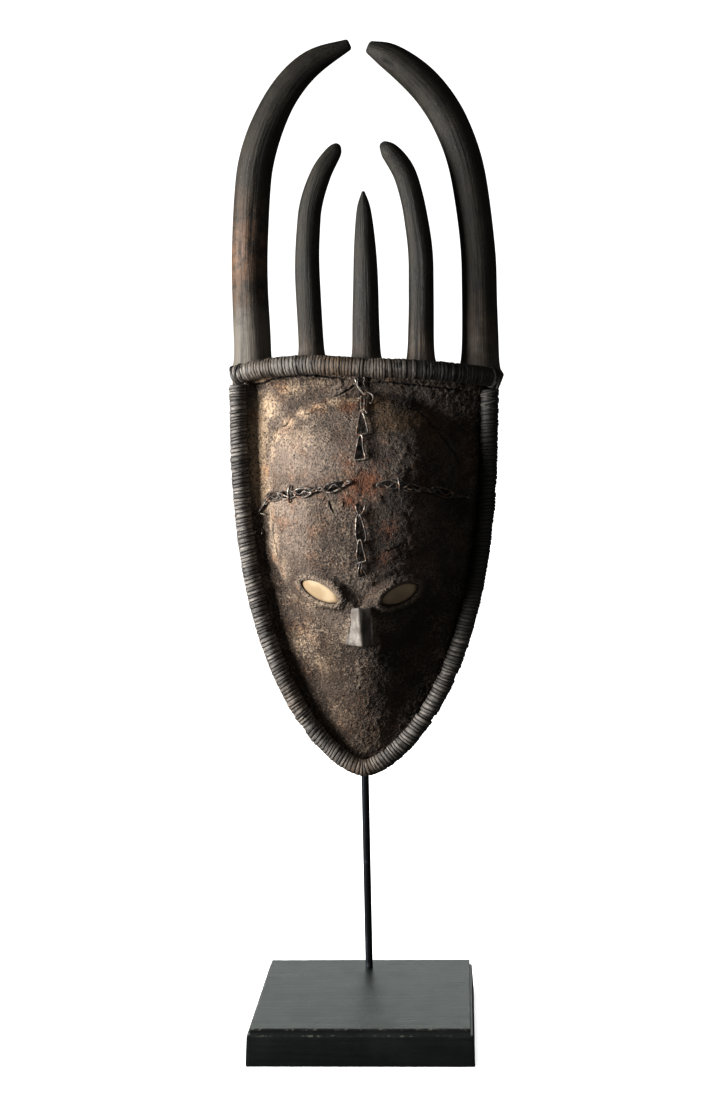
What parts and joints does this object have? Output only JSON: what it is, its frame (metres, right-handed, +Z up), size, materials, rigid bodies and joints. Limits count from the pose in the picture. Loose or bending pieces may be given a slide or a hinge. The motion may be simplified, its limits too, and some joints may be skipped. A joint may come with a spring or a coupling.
{
  "type": "horned carved mask on stand",
  "caption": "Hollow carved wood mask with tall curved horns, wrapped edge bindings and iron chains across the forehead, held upright by a rod on a square base.",
  "frame": {"origin": "middle of the base's underside", "axes": "+Z up, the mask looks along -Y, +X to the viewer's right"},
  "size_m": [0.2553, 0.2, 0.9033],
  "materials": {
    "carved_wood": "old carved wood, crusted dark brown patina with rust and tan patches",
    "vine_binding": "split vine wound tightly, grey-brown and worn",
    "eye_bone": "matt bone inlay, cream with faint grain",
    "chain_iron": "old hand-bent iron wire, dark brown with worn highlights",
    "rod_steel": "round steel bar, blackened, soft sheen",
    "base_wood": "black lacquered wood, satin"
  },
  "bodies": {
    "root": {"mask": "carved_wood", "top_binding": "vine_binding", "edge_binding": "vine_binding", "eye_left": "eye_bone", "eye_right": "eye_bone", "chain_top": "chain_iron", "chain_bottom": "chain_iron", "chain_left": "chain_iron", "chain_right": "chain_iron", "stand_rod": "rod_steel", "stand_base": "base_wood"}
  },
  "joints": []
}
